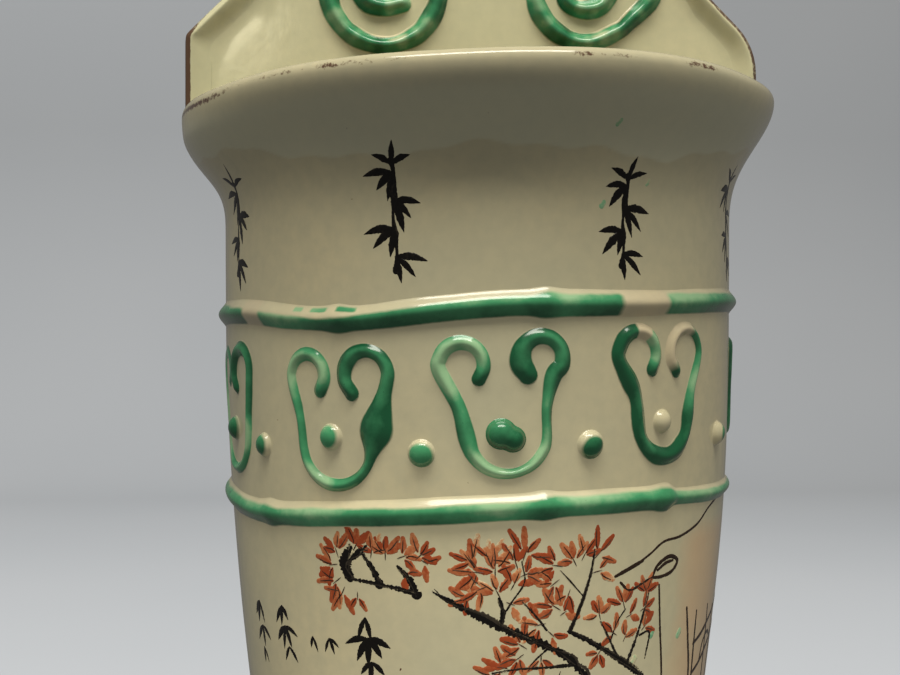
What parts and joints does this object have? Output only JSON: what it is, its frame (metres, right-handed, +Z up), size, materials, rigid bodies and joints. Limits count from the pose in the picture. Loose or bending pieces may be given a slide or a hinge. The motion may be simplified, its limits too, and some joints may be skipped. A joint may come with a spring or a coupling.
{
  "type": "wall-hung brush holder pot",
  "caption": "Half-round glazed porcelain pot with a flat back plate, flared mouth, pierced crest and laid-on coil relief, for holding writing brushes on a wall or a desk.",
  "frame": {"origin": "middle of the bounding box at the plane of the foot", "axes": "+Z up towards the crest, -Y out of the curved front, +Y out of the flat back towards the wall, +X to the right when facing the front"},
  "size_m": [0.13, 0.071, 0.24],
  "materials": {
    "body_glaze": "glossy warm ivory glaze over porcelain",
    "crest_glaze": "glossy ivory glaze with a slight celadon tint",
    "green_glaze": "glossy copper-green enamel, dark where thick and pale where thin"
  },
  "bodies": {
    "root": {"front_shell": "body_glaze", "back_plate": "crest_glaze", "base_slab": "body_glaze", "crest_border": "crest_glaze", "crest_spiral_left": "green_glaze", "crest_spiral_right": "green_glaze", "upper_band": "green_glaze", "lower_band": "green_glaze", "scroll_1": "green_glaze", "scroll_2": "green_glaze", "scroll_3": "green_glaze", "scroll_4": "green_glaze", "scroll_5": "green_glaze", "scroll_bead_1": "green_glaze", "scroll_bead_2": "green_glaze", "scroll_bead_3": "green_glaze", "scroll_bead_4": "green_glaze", "scroll_bead_5": "green_glaze", "spacer_bead_1": "green_glaze", "spacer_bead_2": "green_glaze", "spacer_bead_3": "green_glaze", "spacer_bead_4": "green_glaze"}
  },
  "joints": []
}
